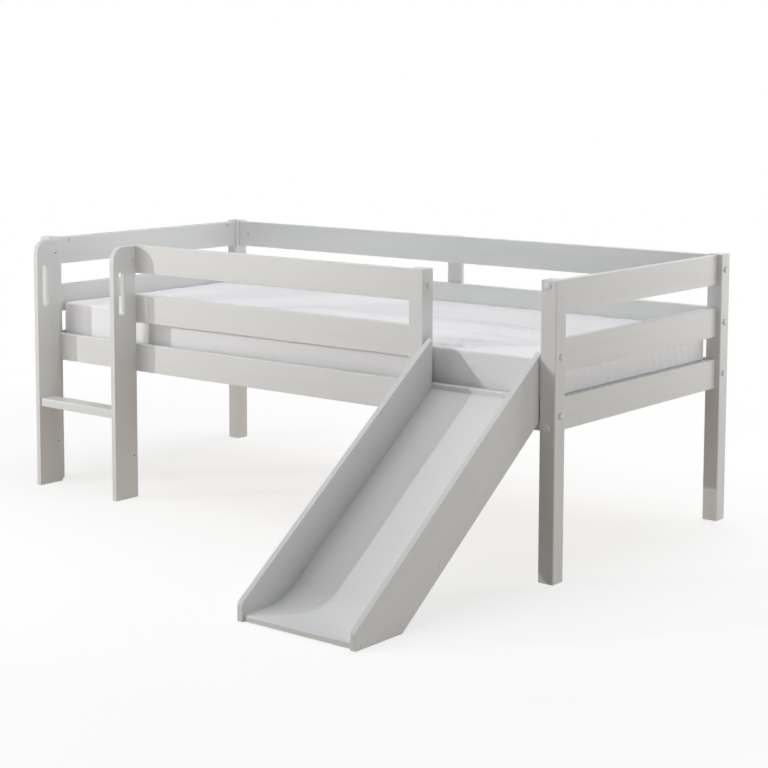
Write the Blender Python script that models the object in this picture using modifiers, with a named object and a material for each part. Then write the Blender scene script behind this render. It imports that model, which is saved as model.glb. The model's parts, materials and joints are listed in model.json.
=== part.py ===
"""Low loft bed with a slide, in painted pine: a frame of square posts and rails, a ladder of two
slotted boards with one step, a slatted base, a mattress, and a slide whose bent sheet sits in
grooves in its two side boards.

Bed coordinates: x runs along the bed from its ladder end, y runs from the posts' front faces to
the wall side, z is up from the floor. The empty called bed_corner carries them.
"""

import math

import bmesh
import bpy
from mathutils import Matrix, Vector

# Frame
bed_length = 2.080
bed_width = 0.980
post_side = 0.050
post_height = 0.837
post_round = 0.003

# Rails, hung down from the posts' tops
rail_thickness = 0.023
rail_height = 0.091
rail_inset = 0.016
rail_round = 0.0025
upper_rail_drop = 0.004
upper_rail_gap = 0.0715
middle_rail_gap = 0.0695
back_stile_width = 0.058

# Ladder
ladder_post_gap = 0.0105
ladder_clear_width = 0.3515
ladder_board_width = 0.099
ladder_board_thickness = 0.018
ladder_board_drop = 0.005
ladder_corner_radius = 0.045
ladder_edge_round = 0.002
grip_width = 0.024
grip_length = 0.144
grip_from_front = 0.036
grip_from_top = 0.081
barrel_hole_radius = 0.003
barrel_hole_from_back = 0.0165
barrel_hole_from_top = 0.046
barrel_hole_from_floor = 0.141
step_share = 0.5863  # of the side rail's height above the floor
step_thickness = 0.0275
step_depth = 0.064
step_setback = 0.0065
step_round = 0.003

# Slide
slide_width = 0.390
slide_post_gap = 0.0045
slide_angle = math.radians(36.4)
slide_board_thickness = 0.018
slide_board_depth = 0.1497
slide_nose_height = 0.0495
slide_nose_radius = 0.022
slide_board_round = 0.002
chute_depth = 0.1157
chute_drop = 0.027
chute_run_out_height = 0.0195
chute_run_out_radius = 0.200
chute_end_setback = 0.0235
chute_thickness = 0.005
chute_groove = 0.004
batten_width = 0.040
batten_thickness = 0.012
batten_round = 0.0015
batten_shares = (0.3014, 0.567, 0.7714, 0.8902)  # of the slide's reach
nose_bar_setback = 0.007
nose_bar_depth = 0.034
nose_bar_lift = 0.002
nose_bar_radius = 0.006
hanger_thickness = 0.018
hanger_height = 0.028

# Slatted base and mattress
cleat_thickness = 0.020
cleat_height = 0.032
cleat_lift = 0.0377
slat_count = 14
slat_width = 0.070
slat_thickness = 0.018
slat_end_gap = 0.0015
slat_first_gap = 0.012
slat_round = 0.002
mattress_gap = 0.003
mattress_edge_height = 0.132
mattress_crown = 0.014
mattress_draw_in = 0.006
mattress_edge = 0.022

# Bolts that pull the long rails onto the posts
bolt_head_radius = 0.010
bolt_head_height = 0.0055
bolt_head_rim = 0.0015
bolt_shank_radius = 0.0035
bolt_length = 0.100
bolt_hole_radius = 0.004

# Fits
seat_gap = 0.0003
overrun = 0.004

# How finely round shapes are divided
corner_steps = 8
arc_steps = 12
round_steps = 2
turn_steps = 16
dome_steps = 4

# Where the mattress cage is cut across, as shares of its half length and half width
mattress_length_shares = (-0.75, -0.5, -0.25, 0.0, 0.25, 0.5, 0.75)
mattress_width_shares = (-0.5, 0.0, 0.5)

PAINT = (0.63, 0.63, 0.61, 1.0)
SLIDE_PAINT = (0.66, 0.66, 0.66, 1.0)
PINE = (0.72, 0.55, 0.36, 1.0)
COTTON = (0.84, 0.84, 0.88, 1.0)
STEEL = (0.70, 0.70, 0.68, 1.0)

# Places that several pieces share
upper_rail_base = post_height - upper_rail_drop - rail_height
middle_rail_base = upper_rail_base - upper_rail_gap - rail_height
lower_rail_base = middle_rail_base - middle_rail_gap - rail_height
side_rail_top = lower_rail_base + rail_height
rail_bases = {"lower": lower_rail_base, "middle": middle_rail_base, "upper": upper_rail_base}
rail_middle = rail_inset + rail_thickness / 2
rail_front = rail_inset
rail_back = rail_inset + rail_thickness
post_left_inner = post_side
post_right_inner = bed_length - post_side
slide_right = post_right_inner - slide_post_gap
slide_left = slide_right - slide_width
slide_post_right = slide_left - slide_post_gap
slide_post_left = slide_post_right - post_side
ladder_back = rail_front - seat_gap
ladder_front = ladder_back - ladder_board_width
ladder_left = post_left_inner + ladder_post_gap
ladder_right = ladder_left + ladder_board_thickness + ladder_clear_width
ladder_board_height = post_height - ladder_board_drop
step_height = step_share * side_rail_top
slope = math.tan(slide_angle)
slide_back = rail_front - seat_gap
slide_top = side_rail_top - chute_drop + chute_depth / math.cos(slide_angle)
slide_reach = (slide_top - slide_nose_height) / slope
cleat_top = lower_rail_base + cleat_lift
slat_base = cleat_top + seat_gap
mattress_base = slat_base + slat_thickness + seat_gap


def clear_scene():
    for obj in list(bpy.data.objects):
        bpy.data.objects.remove(obj, do_unlink=True)


def new_collection(name, hidden=False):
    collection = bpy.data.collections.new(name)
    collection.hide_render = hidden
    bpy.context.scene.collection.children.link(collection)
    return collection


def new_material(name, colour, roughness, metallic=0.0):
    material = bpy.data.materials.new(name)
    material.use_nodes = True
    shader = material.node_tree.nodes["Principled BSDF"]
    shader.inputs["Base Color"].default_value = colour
    shader.inputs["Roughness"].default_value = roughness
    shader.inputs["Metallic"].default_value = metallic
    material.diffuse_color = colour
    return material


clear_scene()
bed = new_collection("loft_bed_with_slide")
cutters = new_collection("cutters", hidden=True)
bed_corner = bpy.data.objects.new("bed_corner", None)
bed_corner.location = (-bed_length / 2, (slide_reach - bed_width) / 2, 0)
bed.objects.link(bed_corner)


def add_object(name, mesh, location, material_look=(PAINT, 0.45), collection=bed):
    """A new object of the bed, at a place in bed coordinates."""
    obj = bpy.data.objects.new(name, mesh)
    obj.location = location
    obj.parent = bed_corner
    collection.objects.link(obj)
    if collection is cutters:
        obj.hide_render = True
        obj.display_type = "WIRE"
    else:
        mesh.materials.append(new_material(name, *material_look))
    return obj


def round_edges(obj, width, segments=round_steps):
    bevel = obj.modifiers.new("rounded_edges", "BEVEL")
    bevel.width = width
    bevel.segments = segments
    bevel.limit_method = "ANGLE"
    bevel.angle_limit = math.radians(40)
    return bevel


def cut(obj, cutter):
    boolean = obj.modifiers.new("cut_" + cutter.name, "BOOLEAN")
    boolean.operation = "DIFFERENCE"
    boolean.object = cutter


def shade_round(mesh):
    mesh.shade_smooth()
    mesh.set_sharp_from_angle(angle=math.radians(35))


def box_mesh(name, size):
    mesh = bpy.data.meshes.new(name)
    shape = bmesh.new()
    bmesh.ops.create_cube(shape, size=1, matrix=Matrix.Diagonal((*size, 1)))
    shape.to_mesh(mesh)
    shape.free()
    return mesh


def plank(name, low, high, edge_round, look=(PAINT, 0.45)):
    """A straight board between two opposite corners."""
    low = Vector(low)
    high = Vector(high)
    obj = add_object(name, box_mesh(name, high - low), (low + high) / 2, look)
    round_edges(obj, edge_round)
    return obj


def outline_curve(name, outlines, width):
    """A 2D curve in the curve's own x and y, as thick as the board is wide across the bed."""
    curve = bpy.data.curves.new(name, "CURVE")
    curve.dimensions = "2D"
    curve.fill_mode = "BOTH"
    curve.extrude = width / 2
    for outline in outlines:
        spline = curve.splines.new("POLY")
        spline.points.add(len(outline[1:]))
        for point, (across, up) in zip(spline.points, outline):
            point.co = (across, up, 0, 1)
        spline.use_cyclic_u = True
    return curve


def board_from_outline(name, outlines, left, width, look=(PAINT, 0.45), collection=bed):
    """A mesh board whose side view has these outlines in y and z, from x = left."""
    curve_object = bpy.data.objects.new(name + "_outline", outline_curve(name, outlines, width))
    bpy.context.scene.collection.objects.link(curve_object)
    bpy.context.view_layer.update()
    graph = bpy.context.evaluated_depsgraph_get()
    mesh = bpy.data.meshes.new_from_object(curve_object.evaluated_get(graph))
    mesh.name = name
    bpy.data.objects.remove(curve_object, do_unlink=True)
    shape = bmesh.new()
    shape.from_mesh(mesh)
    bmesh.ops.remove_doubles(shape, verts=shape.verts, dist=seat_gap / 10)
    bmesh.ops.dissolve_limit(
        shape, angle_limit=math.radians(1), verts=shape.verts, edges=shape.edges
    )
    bmesh.ops.recalc_face_normals(shape, faces=shape.faces)
    shape.to_mesh(mesh)
    shape.free()
    obj = add_object(name, mesh, (left + width / 2, 0, 0), look, collection)
    obj.rotation_euler = (math.pi / 2, 0, math.pi / 2)
    return obj


def arc(centre, radius, start, end, steps):
    """Points on an arc in the y-z plane; angles are measured from +y towards +z."""
    points = []
    for step in range(steps + 1):
        angle = start + (end - start) * step / steps
        points.append((centre[0] + radius * math.cos(angle), centre[1] + radius * math.sin(angle)))
    return points


def rod_cutter(name, centre, direction, radius, length):
    """A hidden round cutter whose middle lies at centre."""
    mesh = bpy.data.meshes.new(name)
    shape = bmesh.new()
    bmesh.ops.create_cone(
        shape, cap_ends=True, segments=turn_steps, radius1=radius, radius2=radius, depth=length
    )
    shape.to_mesh(mesh)
    shape.free()
    obj = add_object(name, mesh, centre, collection=cutters)
    obj.rotation_euler = Vector(direction).to_track_quat("Z", "Y").to_euler()
    return obj


# Posts and rails


def corner_post(name, left, front):
    low = (left, front, 0)
    high = (left + post_side, front + post_side, post_height)
    return plank(name, low, high, post_round)


def slide_post():
    """The short post beside the slide stands on the side rail and laps over its front face."""
    tongue_back = rail_front - seat_gap
    shoulder = side_rail_top + seat_gap
    outline = [
        (0, lower_rail_base),
        (tongue_back, lower_rail_base),
        (tongue_back, shoulder),
        (post_side, shoulder),
        (post_side, post_height),
        (0, post_height),
    ]
    post = board_from_outline("slide_post", [outline], slide_post_left, post_side)
    round_edges(post, post_round)
    return post


def long_rail(name, left, right, outer_face, base):
    low = (left, outer_face, base)
    high = (right, outer_face + rail_thickness, base + rail_height)
    return plank(name, low, high, rail_round)


def end_rail(name, outer_face, base):
    low = (outer_face, post_side + seat_gap, base)
    high = (outer_face + rail_thickness, bed_width - post_side - seat_gap, base + rail_height)
    return plank(name, low, high, rail_round)


posts = {
    "front_left": corner_post("post_front_left", 0, 0),
    "front_right": corner_post("post_front_right", post_right_inner, 0),
    "back_left": corner_post("post_back_left", 0, bed_width - post_side),
    "back_right": corner_post("post_back_right", post_right_inner, bed_width - post_side),
    "slide": slide_post(),
}

rail_left_end = post_left_inner + seat_gap
rail_right_end = post_right_inner - seat_gap
back_rail_face = bed_width - rail_back
side_rail = long_rail(
    "side_rail_front", rail_left_end, rail_right_end, rail_front, lower_rail_base
)
back_rails = {
    level: long_rail("back_rail_" + level, rail_left_end, rail_right_end, back_rail_face, base)
    for level, base in rail_bases.items()
}
guard_rails = {
    level: long_rail(
        "guard_rail_" + level,
        ladder_right,
        slide_post_left - seat_gap,
        rail_front,
        rail_bases[level],
    )
    for level in ("middle", "upper")
}
for level, base in rail_bases.items():
    end_rail("end_rail_left_" + level, rail_inset, base)
    end_rail("end_rail_right_" + level, bed_length - rail_back, base)

plank(
    "back_stile",
    ((bed_length - back_stile_width) / 2, bed_width - rail_inset + seat_gap, lower_rail_base),
    ((bed_length + back_stile_width) / 2, bed_width, upper_rail_base + rail_height),
    rail_round,
)


# Bolts


def bolt_mesh():
    """A domed cap and its shank, turned about z, with the underside of the cap at z = 0."""
    dome = [
        (
            bolt_head_radius * math.sin(math.pi / 2 * step / dome_steps),
            bolt_head_rim
            + (bolt_head_height - bolt_head_rim) * math.cos(math.pi / 2 * step / dome_steps),
        )
        for step in range(dome_steps + 1)
    ]
    profile = dome + [
        (bolt_head_radius, 0),
        (bolt_shank_radius, 0),
        (bolt_shank_radius, -bolt_length),
        (0, -bolt_length),
    ]
    mesh = bpy.data.meshes.new("rail_bolt")
    edges = [(index, index + 1) for index in range(len(profile) - 1)]
    mesh.from_pydata([(across, 0, up) for across, up in profile], edges, [])
    return mesh


def rail_bolt(name, post, rail, face, outward, front, height):
    """A bolt through a post into a rail's end: outward is +1 where its cap faces +x."""
    obj = add_object(name, bolt_mesh(), (face + outward * seat_gap, front, height), (STEEL, 0.35))
    obj.rotation_euler = (0, outward * math.pi / 2, 0)
    screw = obj.modifiers.new("turned", "SCREW")
    screw.steps = turn_steps
    screw.render_steps = turn_steps
    screw.use_merge_vertices = True
    screw.merge_threshold = seat_gap / 10
    screw.use_smooth_shade = True
    hole_length = bolt_length + 2 * overrun
    middle = face - outward * bolt_length / 2
    hole = rod_cutter(
        name + "_hole", (middle, front, height), (1, 0, 0), bolt_hole_radius, hole_length
    )
    cut(post, hole)
    cut(rail, hole)


def bolt_height(level):
    return rail_bases[level] + rail_height / 2


ends = {"left": (0, -1), "right": (bed_length, 1)}
for side, (face, outward) in ends.items():
    front_post = posts["front_" + side]
    rail_bolt(
        "bolt_front_" + side, front_post, side_rail, face, outward, rail_middle, bolt_height("lower")
    )
    for level, rail in back_rails.items():
        rail_bolt(
            "bolt_back_" + side + "_" + level,
            posts["back_" + side],
            rail,
            face,
            outward,
            bed_width - rail_middle,
            bolt_height(level),
        )
for level, rail in guard_rails.items():
    rail_bolt(
        "bolt_slide_post_" + level,
        posts["slide"],
        rail,
        slide_post_right,
        1,
        rail_middle,
        bolt_height(level),
    )


# Ladder


def grip_outline():
    """The long hand slot near the top of a ladder board."""
    radius = grip_width / 2
    middle = ladder_front + grip_from_front
    top = ladder_board_height - grip_from_top - radius
    bottom = ladder_board_height - grip_from_top - grip_length + radius
    upper = arc((middle, top), radius, 0, math.pi, corner_steps)
    lower = arc((middle, bottom), radius, math.pi, 2 * math.pi, corner_steps)
    return upper + lower


def ladder_board(name, left):
    corner = (ladder_front + ladder_corner_radius, ladder_board_height - ladder_corner_radius)
    outline = [(ladder_front, 0), (ladder_back, 0), (ladder_back, ladder_board_height)]
    outline += arc(corner, ladder_corner_radius, math.pi / 2, math.pi, corner_steps)
    board = board_from_outline(name, [outline, grip_outline()], left, ladder_board_thickness)
    round_edges(board, ladder_edge_round)
    heights = (barrel_hole_from_floor, ladder_board_height - barrel_hole_from_top)
    for number, height in enumerate(heights):
        middle = (left + ladder_board_thickness / 2, ladder_back - barrel_hole_from_back, height)
        length = ladder_board_thickness + 2 * overrun
        hole_name = name + "_barrel_hole_" + str(number)
        cut(board, rod_cutter(hole_name, middle, (1, 0, 0), barrel_hole_radius, length))
    return board


ladder_board("ladder_board_left", ladder_left)
ladder_board("ladder_board_right", ladder_right)
step_front = ladder_front + step_setback
plank(
    "ladder_step",
    (ladder_left + ladder_board_thickness + seat_gap, step_front, step_height - step_thickness),
    (ladder_right - seat_gap, step_front + step_depth, step_height),
    step_round,
)


# Slide: its side view is worked out from the slope, the side rail's height and the nose


def slide_line_height(drop):
    """Height at y = 0 of the line that lies this far under the boards' top edge, square to it."""
    return slide_top - drop / math.cos(slide_angle)


def slide_board_outline():
    top = slide_line_height(0)
    bottom = slide_line_height(slide_board_depth)
    turn = math.pi / 2 - slide_angle
    nose_tangent = slide_nose_radius * math.tan(turn / 2)
    nose_centre = (-slide_reach + slide_nose_radius, slide_nose_height - nose_tangent)
    outline = [(-slide_reach, 0), (-bottom / slope, 0), (slide_back, bottom + slope * slide_back)]
    outline += [(slide_back, top + slope * slide_back)]
    outline += arc(
        nose_centre, slide_nose_radius, math.pi / 2 + slide_angle, math.pi, corner_steps
    )
    return outline


def chute_path(upper_end, lower_end):
    """The chute's upper face as (point, slope angle): straight, then the run-out arc, then flat."""
    height_at_posts = slide_line_height(chute_depth)
    meeting = (chute_run_out_height - height_at_posts) / slope
    tangent = chute_run_out_radius * math.tan(slide_angle / 2)
    centre = (meeting - tangent, chute_run_out_height + chute_run_out_radius)
    path = [((upper_end, height_at_posts + slope * upper_end), slide_angle)]
    start = slide_angle - math.pi / 2
    for step, point in enumerate(
        arc(centre, chute_run_out_radius, start, -math.pi / 2, arc_steps)
    ):
        path.append((point, slide_angle * (1 - step / arc_steps)))
    path.append(((lower_end, chute_run_out_height), 0))
    return path


def offset_point(point, angle, depth):
    """A point that lies this deep under the chute's face."""
    return (point[0] + depth * math.sin(angle), point[1] - depth * math.cos(angle))


def chute_outline(upper_end, lower_end, above, below):
    path = chute_path(upper_end, lower_end)
    face = [offset_point(point, angle, -above) for point, angle in path]
    underside = [offset_point(point, angle, below) for point, angle in path]
    return face + underside[::-1]


def square_to_rail(outline, limit):
    """Slides points past the limit back down the slope, so that the end meets an upright face."""
    return [(min(across, limit), up - slope * max(0, across - limit)) for across, up in outline]


def chute_station(reach):
    """Point and slope angle of the chute's face this far in front of the posts."""
    path = chute_path(slide_back, -slide_reach)
    for (first, first_angle), (second, second_angle) in zip(path, path[1:]):
        if second[0] <= -reach <= first[0]:
            share = (first[0] + reach) / (first[0] - second[0])
            height = first[1] + (second[1] - first[1]) * share
            return (-reach, height), first_angle + (second_angle - first_angle) * share
    return path[-1]


chute_end = -slide_reach + chute_end_setback
slide_inner_left = slide_left + slide_board_thickness
slide_inner_right = slide_right - slide_board_thickness


def slide_board(name, left, groove_left):
    board = board_from_outline(name, [slide_board_outline()], left, slide_board_thickness)
    round_edges(board, slide_board_round)
    outline = chute_outline(
        slide_back + overrun, chute_end - seat_gap, seat_gap, chute_thickness + seat_gap
    )
    groove = board_from_outline(
        name + "_groove", [outline], groove_left, chute_groove + seat_gap + overrun, collection=cutters
    )
    cut(board, groove)
    return board


slide_board("slide_board_left", slide_left, slide_inner_left - chute_groove - seat_gap)
slide_board("slide_board_right", slide_right - slide_board_thickness, slide_inner_right - overrun)

chute_side = square_to_rail(
    chute_outline(slide_back + overrun, chute_end, 0, chute_thickness), slide_back
)
chute = board_from_outline(
    "slide_chute",
    [chute_side],
    slide_inner_left - chute_groove,
    slide_inner_right - slide_inner_left + 2 * chute_groove,
    (SLIDE_PAINT, 0.3),
)
shade_round(chute.data)


def slide_batten(number, share):
    """A flat strip across the slide, glued under the chute and screwed through both boards."""
    point, angle = chute_station(share * slide_reach)
    depth = chute_thickness + seat_gap + batten_thickness / 2
    middle = offset_point(point, angle, depth)
    length = slide_inner_right - slide_inner_left - 2 * seat_gap
    name = "slide_batten_" + str(number)
    place = ((slide_inner_left + slide_inner_right) / 2, *middle)
    obj = add_object(name, box_mesh(name, (length, batten_width, batten_thickness)), place)
    obj.rotation_euler = (angle, 0, 0)
    round_edges(obj, batten_round, 1)


for number, share in enumerate(batten_shares, start=1):
    slide_batten(number, share)


def slide_nose_bar():
    """The bar that closes the chute's lower end, rebated under the sheet, with a round front."""
    front = -slide_reach + nose_bar_setback
    rebate = chute_run_out_height - chute_thickness - seat_gap
    step_back = chute_end - seat_gap
    outline = [
        (front, nose_bar_lift),
        (front + nose_bar_depth, nose_bar_lift),
        (front + nose_bar_depth, rebate),
        (step_back, rebate),
        (step_back, chute_run_out_height),
    ]
    corner = (front + nose_bar_radius, chute_run_out_height - nose_bar_radius)
    outline += arc(corner, nose_bar_radius, math.pi / 2, math.pi, corner_steps)
    left = slide_inner_left + seat_gap
    bar = board_from_outline("slide_nose_bar", [outline], left, slide_inner_right - seat_gap - left)
    shade_round(bar.data)


slide_nose_bar()

hanger_front = slide_back - hanger_thickness
hanger_top = (
    slide_line_height(chute_depth + chute_thickness) + slope * hanger_front - seat_gap
)
plank(
    "slide_hanger",
    (slide_inner_left + seat_gap, hanger_front, hanger_top - hanger_height),
    (slide_inner_right - seat_gap, slide_back, hanger_top),
    batten_round,
)


# Slatted base


def slat_cleat(name, low_face):
    low = (rail_left_end, low_face, cleat_top - cleat_height)
    high = (rail_right_end, low_face + cleat_thickness, cleat_top)
    plank(name, low, high, slat_round, (PINE, 0.6))


slat_cleat("slat_cleat_front", rail_back + seat_gap)
slat_cleat("slat_cleat_back", bed_width - rail_back - seat_gap - cleat_thickness)

slat_start = post_left_inner + slat_first_gap
slat_pitch = (post_right_inner - slat_first_gap - slat_width - slat_start) / (slat_count - 1)
for number in range(slat_count):
    left = slat_start + number * slat_pitch
    plank(
        f"slat_{number + 1:02d}",
        (left, rail_back + slat_end_gap, slat_base),
        (left + slat_width, bed_width - rail_back - slat_end_gap, slat_base + slat_thickness),
        slat_round,
        (PINE, 0.6),
    )


# Mattress: a coarse cage with rounded edges, a crown on top and sides drawn in towards the middle


def mattress_cage(half_length, half_width):
    mesh = box_mesh("mattress", (2 * half_length, 2 * half_width, mattress_edge_height))
    shape = bmesh.new()
    shape.from_mesh(mesh)
    half_height = mattress_edge_height / 2
    inner = (half_length - mattress_edge, half_width - mattress_edge, half_height - mattress_edge)
    cuts = [(axis, side * inner[axis]) for axis in range(3) for side in (-1, 1)]
    cuts += [(0, share * half_length) for share in mattress_length_shares]
    cuts += [(1, share * half_width) for share in mattress_width_shares]
    for axis, place in cuts:
        normal = Vector((axis == 0, axis == 1, axis == 2))
        bmesh.ops.bisect_plane(
            shape,
            geom=shape.verts[:] + shape.edges[:] + shape.faces[:],
            plane_co=normal * place,
            plane_no=normal,
        )
    for vert in shape.verts:
        along = max(0, 1 - (vert.co.x / half_length) ** 2)
        across = max(0, 1 - (vert.co.y / half_width) ** 2)
        height_share = vert.co.z / half_height
        if height_share > 0:
            vert.co.z += mattress_crown * math.sqrt(along * across)
        waist = 1 - height_share**2
        vert.co.x -= mattress_draw_in * waist * across * vert.co.x / half_length
        vert.co.y -= mattress_draw_in * waist * along * vert.co.y / half_width
    shape.to_mesh(mesh)
    shape.free()
    return mesh


mattress_half_length = (post_right_inner - post_left_inner) / 2 - mattress_gap
mattress_half_width = bed_width / 2 - post_side - mattress_gap
mattress = add_object(
    "mattress",
    mattress_cage(mattress_half_length, mattress_half_width),
    (bed_length / 2, bed_width / 2, mattress_base + mattress_edge_height / 2),
    (COTTON, 0.9),
)
smooth = mattress.modifiers.new("soft_form", "SUBSURF")
smooth.levels = 1
smooth.render_levels = 1
shade_round(mattress.data)
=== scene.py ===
# %% [markdown]
# # A low loft bed with a slide, in white lacquered pine
# The bed's solids were made as CAD and packed. This lesson loads them, then gives them what a
# CAD solid doesn't have: lacquer with the pine's grain showing through it, caps over the bolts,
# screws, and a mattress in a fitted sheet. All lengths are in metres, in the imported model's frame.

import json
import math
import random

import bmesh
import bpy
from mathutils import Euler, Matrix, Vector, noise

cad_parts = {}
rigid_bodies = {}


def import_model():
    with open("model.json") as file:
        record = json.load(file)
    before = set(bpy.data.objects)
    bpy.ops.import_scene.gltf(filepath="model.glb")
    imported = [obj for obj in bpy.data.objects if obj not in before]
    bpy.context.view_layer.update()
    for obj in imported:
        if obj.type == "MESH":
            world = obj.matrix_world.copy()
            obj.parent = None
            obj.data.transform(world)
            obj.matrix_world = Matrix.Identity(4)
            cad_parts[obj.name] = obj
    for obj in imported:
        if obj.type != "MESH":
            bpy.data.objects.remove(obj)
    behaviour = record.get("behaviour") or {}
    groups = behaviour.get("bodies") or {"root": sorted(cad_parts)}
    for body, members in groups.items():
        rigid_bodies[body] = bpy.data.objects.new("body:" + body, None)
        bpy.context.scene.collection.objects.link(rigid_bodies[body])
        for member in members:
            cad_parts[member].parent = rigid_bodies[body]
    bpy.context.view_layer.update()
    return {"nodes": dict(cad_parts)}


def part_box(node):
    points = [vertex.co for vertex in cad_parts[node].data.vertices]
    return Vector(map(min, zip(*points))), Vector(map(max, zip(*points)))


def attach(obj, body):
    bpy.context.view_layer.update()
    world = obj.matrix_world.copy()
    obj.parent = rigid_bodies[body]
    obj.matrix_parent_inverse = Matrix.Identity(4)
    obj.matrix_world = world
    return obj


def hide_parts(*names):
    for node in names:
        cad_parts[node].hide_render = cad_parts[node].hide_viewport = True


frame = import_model()
nodes = frame["nodes"]
scene = bpy.context.scene
scene.view_settings.view_transform = "Standard"

# %% [markdown]
# The drawing of the bed counts x from the ladder end, y from the posts' front faces towards the
# wall, and z from the floor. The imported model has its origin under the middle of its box, so one
# shift takes a place on the drawing to a place in the model. The post at the ladder end's front
# has its outer corner at the drawing's origin, so the shift is read from that post.

# %% From the drawing to the model
post_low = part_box("post_front_left")[0]
drawing_origin = Vector((post_low.x, post_low.y, 0))


def at(x, y, z):
    """A place on the bed's drawing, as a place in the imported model."""
    return drawing_origin + Vector((x, y, z))


print("drawing origin in the model:", [round(v, 4) for v in drawing_origin])

# %% [markdown]
# The camera stands in front of the slide end, a little above the mattress. Its place and lens
# were worked out from the bed's straight edges. The lens is shifted a little, as a studio
# photographer does to keep upright edges upright.

# %% Camera
camera_data = bpy.data.cameras.new("studio_camera")
camera_data.sensor_width = 36
camera_data.lens = 84.61
camera_data.shift_x = 0.05
camera_data.shift_y = -0.15
camera_data.clip_end = 60
camera = bpy.data.objects.new("studio_camera", camera_data)
scene.collection.objects.link(camera)
camera.location = at(4.696, -4.060, 1.382)
tilt_down, heading, roll = 6.11, 39.514, 0.04
aim = Euler((math.radians(90 - tilt_down), 0, math.radians(heading))).to_matrix()
camera.rotation_euler = (aim @ Matrix.Rotation(math.radians(roll), 3, "Z")).to_euler()
scene.camera = camera
print("camera at", [round(v, 3) for v in camera.location])

# %% [markdown]
# A studio sweep is a wide pale floor that runs out of the picture. Light Path tells the camera's
# own rays from the light's: the camera sees a nearly white floor that keeps the bed's soft
# shadow, while the light that bounces up under the bed is that of a plain, slightly warm floor.
# Away from the bed the floor turns to plain white, so that no horizon shows.

# %% Floor
bpy.ops.object.select_all(action="DESELECT")
bpy.ops.mesh.primitive_plane_add(size=40, location=(0, 0, 0))
floor = bpy.context.object
floor.name = "studio_floor"
floor_look = bpy.data.materials.new("studio_floor")
floor_look.use_nodes = True
floor_nodes = floor_look.node_tree.nodes
floor_links = floor_look.node_tree.links
floor_nodes.clear()
output = floor_nodes.new("ShaderNodeOutputMaterial")
seen_by = floor_nodes.new("ShaderNodeLightPath")
bounce = floor_nodes.new("ShaderNodeBsdfDiffuse")
bounce.inputs["Color"].default_value = (0.565, 0.50, 0.425, 1)
shadow_catch = floor_nodes.new("ShaderNodeBsdfDiffuse")
shadow_catch.inputs["Color"].default_value = (0.30, 0.30, 0.30, 1)
white = floor_nodes.new("ShaderNodeEmission")
white.inputs["Color"].default_value = (1, 1, 1, 1)
white.inputs["Strength"].default_value = 0.74
pale = floor_nodes.new("ShaderNodeAddShader")
pick = floor_nodes.new("ShaderNodeMixShader")
camera_or_gloss = floor_nodes.new("ShaderNodeMath")
camera_or_gloss.operation = "MAXIMUM"
camera_or_glass = floor_nodes.new("ShaderNodeMath")
camera_or_glass.operation = "MAXIMUM"
floor_links.new(seen_by.outputs["Is Camera Ray"], camera_or_gloss.inputs[0])
floor_links.new(seen_by.outputs["Is Glossy Ray"], camera_or_gloss.inputs[1])
floor_links.new(camera_or_gloss.outputs[0], camera_or_glass.inputs[0])
floor_links.new(seen_by.outputs["Is Transmission Ray"], camera_or_glass.inputs[1])
floor_links.new(shadow_catch.outputs[0], pale.inputs[0])
floor_links.new(white.outputs[0], pale.inputs[1])
own_place = floor_nodes.new("ShaderNodeTexCoord")
from_bed = floor_nodes.new("ShaderNodeVectorMath")
from_bed.operation = "LENGTH"
fade_out = floor_nodes.new("ShaderNodeMapRange")
fade_out.interpolation_type = "SMOOTHSTEP"
fade_out.inputs["From Min"].default_value = 1.5
fade_out.inputs["From Max"].default_value = 3.0
plain_white = floor_nodes.new("ShaderNodeEmission")
plain_white.inputs["Color"].default_value = (1, 1, 1, 1)
sweep = floor_nodes.new("ShaderNodeMixShader")
floor_links.new(own_place.outputs["Object"], from_bed.inputs[0])
floor_links.new(from_bed.outputs["Value"], fade_out.inputs["Value"])
floor_links.new(fade_out.outputs[0], sweep.inputs["Fac"])
floor_links.new(pale.outputs[0], sweep.inputs[1])
floor_links.new(plain_white.outputs[0], sweep.inputs[2])
floor_links.new(camera_or_glass.outputs[0], pick.inputs["Fac"])
floor_links.new(bounce.outputs[0], pick.inputs[1])
floor_links.new(sweep.outputs[0], pick.inputs[2])
floor_links.new(pick.outputs[0], output.inputs["Surface"])
floor.data.materials.append(floor_look)

# %% [markdown]
# The world is the light that comes from the studio's walls. It lights the bed evenly from all
# sides at a low level, and the camera sees it as plain white.

# %% World
world = bpy.data.worlds.new("studio_world")
scene.world = world
world.use_nodes = True
world_nodes = world.node_tree.nodes
world_links = world.node_tree.links
world_nodes.clear()
world_output = world_nodes.new("ShaderNodeOutputWorld")
world_seen = world_nodes.new("ShaderNodeLightPath")
world_any = world_nodes.new("ShaderNodeMath")
world_any.operation = "MAXIMUM"
world_light = world_nodes.new("ShaderNodeBackground")
world_light.inputs["Strength"].default_value = 0.06
world_white = world_nodes.new("ShaderNodeBackground")
world_white.inputs["Color"].default_value = (1, 1, 1, 1)
world_white.inputs["Strength"].default_value = 1.0
world_pick = world_nodes.new("ShaderNodeMixShader")
world_links.new(world_seen.outputs["Is Camera Ray"], world_any.inputs[0])
world_links.new(world_seen.outputs["Is Transmission Ray"], world_any.inputs[1])
world_links.new(world_any.outputs[0], world_pick.inputs["Fac"])
world_links.new(world_light.outputs[0], world_pick.inputs[1])
world_links.new(world_white.outputs[0], world_pick.inputs[2])
world_links.new(world_pick.outputs[0], world_output.inputs["Surface"])

# %% [markdown]
# Wide soft boxes light the bed from above, behind and the sides, as white cloth over a lamp does.
# A wide lamp makes a soft shadow and a small one a sharp shadow. One of the widest is a lit
# backdrop: boards seen at a flat angle mirror it, which draws a bright line along the top of each
# rail. A long strip far off to the right lights all the right-hand sides evenly.

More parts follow.
